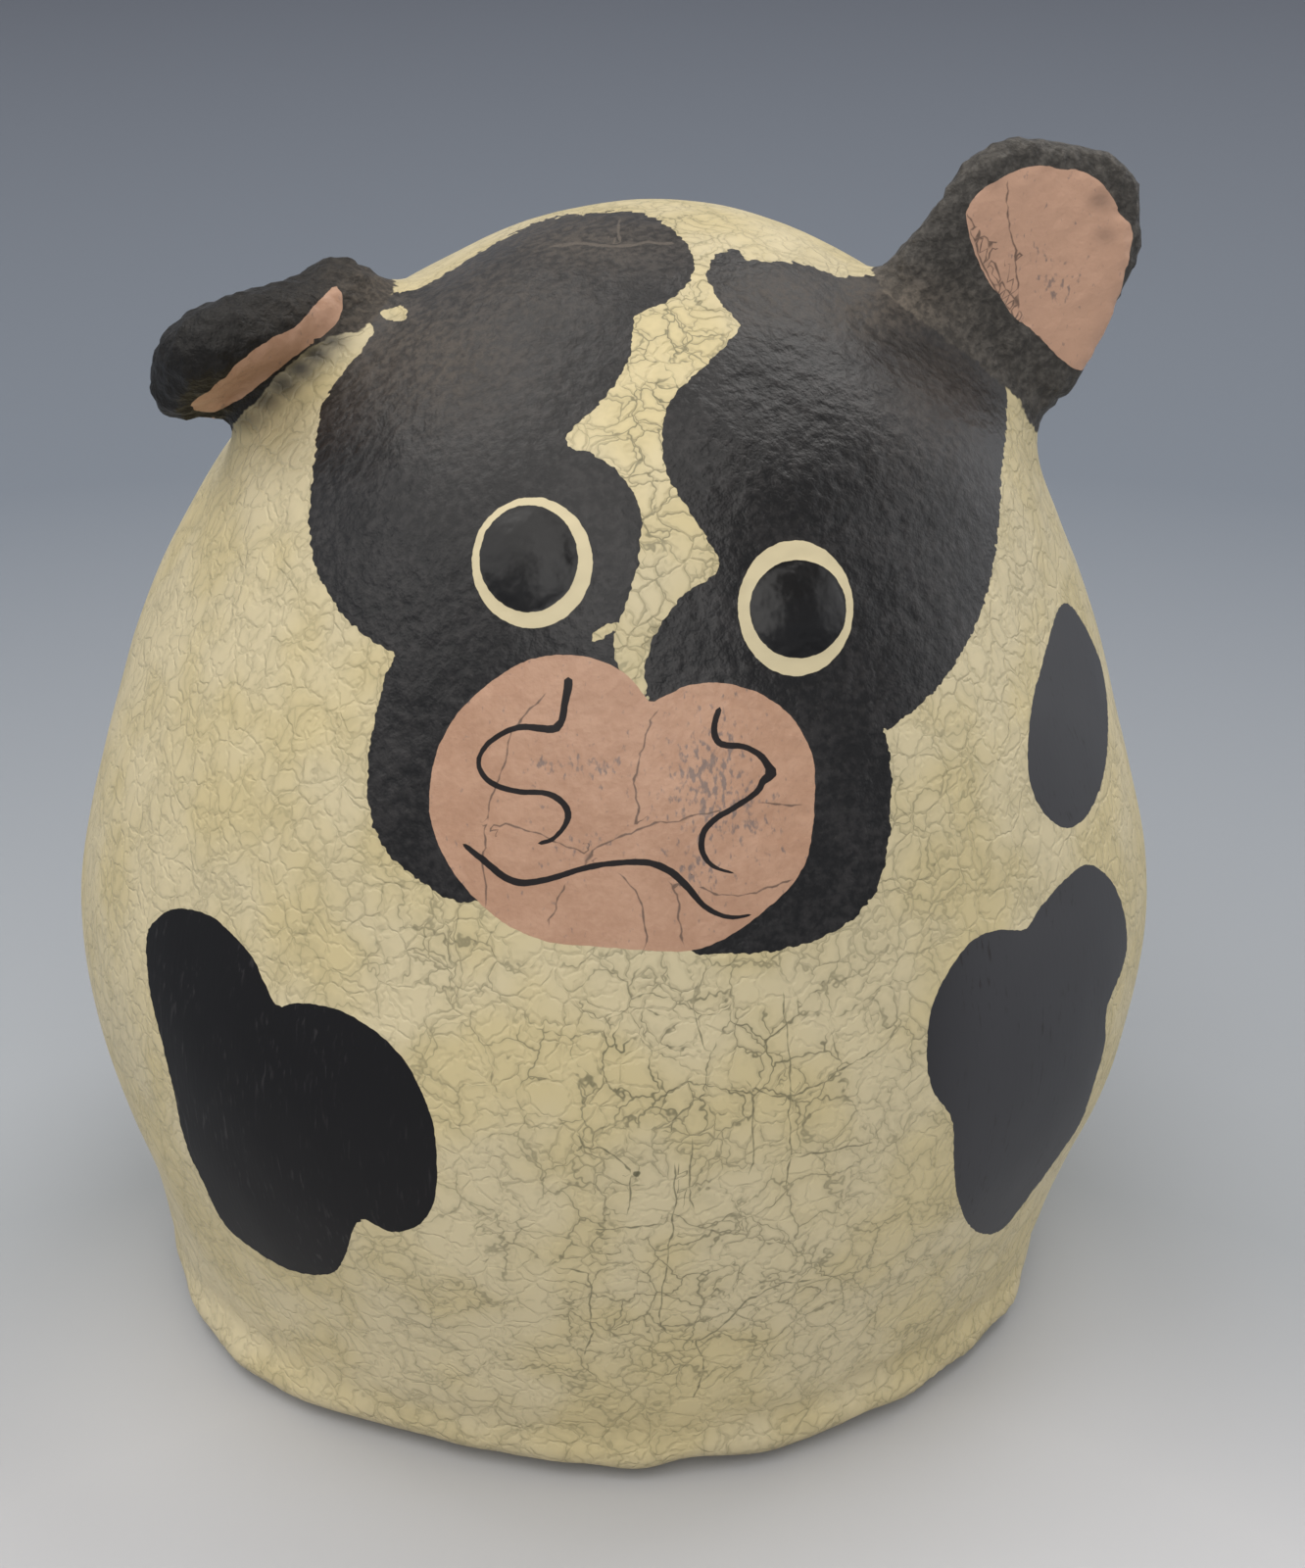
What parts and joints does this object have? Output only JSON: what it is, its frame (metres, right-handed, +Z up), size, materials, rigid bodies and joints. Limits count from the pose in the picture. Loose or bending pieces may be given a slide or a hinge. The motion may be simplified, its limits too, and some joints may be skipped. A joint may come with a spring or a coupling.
{
  "type": "cow figurine",
  "caption": "Egg-shaped cow figurine for a shelf or table, moulded in one piece, with one raised and one drooping ear and a flat underside that it stands on.",
  "frame": {"origin": "middle of the flat underside, on the surface that the figurine stands on", "axes": "+Z up, the face looks along -Y, and the animal's own left side, with the raised ear, is +X"},
  "size_m": [0.1203, 0.1202, 0.1318],
  "materials": {
    "crackled_paint": "satin hand-painted papier-mache: crackled cream ground with black patches and a dusty pink muzzle and inner ears"
  },
  "bodies": {
    "root": {"cow_figurine": "crackled_paint"}
  },
  "joints": []
}
